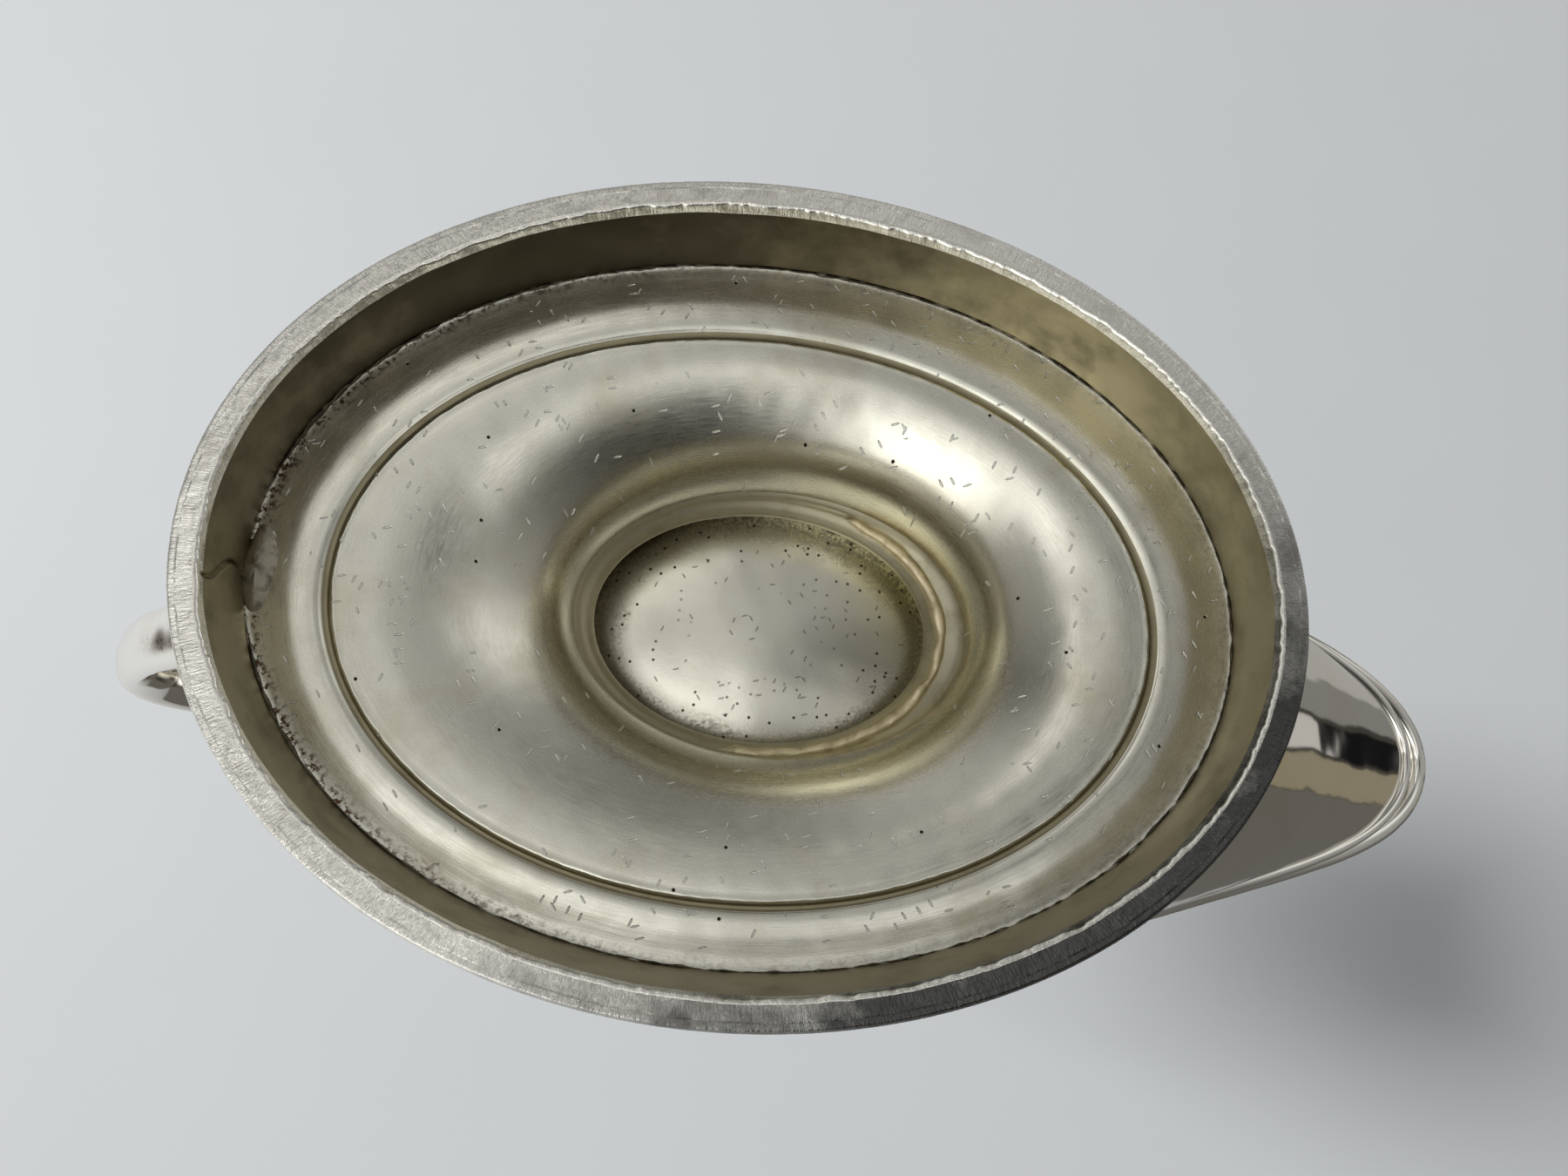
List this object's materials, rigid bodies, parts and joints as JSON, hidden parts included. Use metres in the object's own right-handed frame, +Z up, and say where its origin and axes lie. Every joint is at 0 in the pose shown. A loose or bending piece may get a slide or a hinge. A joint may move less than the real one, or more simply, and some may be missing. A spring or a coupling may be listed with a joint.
{
  "type": "sauce boat",
  "caption": "Oval footed sauce boat in silver: boat-shaped bowl with a broad spout, reeded rim wires, a high loop handle, a knopped neck and a hollow pedestal foot.",
  "frame": {"origin": "centre of the oval foot, on the plane of its flat ground face", "axes": "+Z is up, from the foot to the rim; +X points to the spout and -X to the handle; the XZ plane is the plane of symmetry"},
  "size_m": [0.2051, 0.0786, 0.1274],
  "materials": {
    "silver_polished": "polished silver with fine scratches",
    "silver_worn": "satin silver with file marks, nicks and olive-brown tarnish",
    "solder_golden": "rough golden solder",
    "solder_grey": "matt grey solder with pinholes"
  },
  "bodies": {
    "root": {"body_bowl": "silver_polished", "rim_outer_reed": "silver_polished", "rim_inner_reed": "silver_polished", "handle_loop": "silver_polished", "handle_lower_pad": "silver_polished", "foot_dome": "silver_worn", "foot_wall_band": "silver_worn", "foot_base_reed": "silver_worn", "neck_collar": "silver_worn", "neck_solder_fillet": "solder_golden", "foot_seam_solder": "solder_grey", "foot_solder_patch": "solder_grey"}
  },
  "joints": []
}
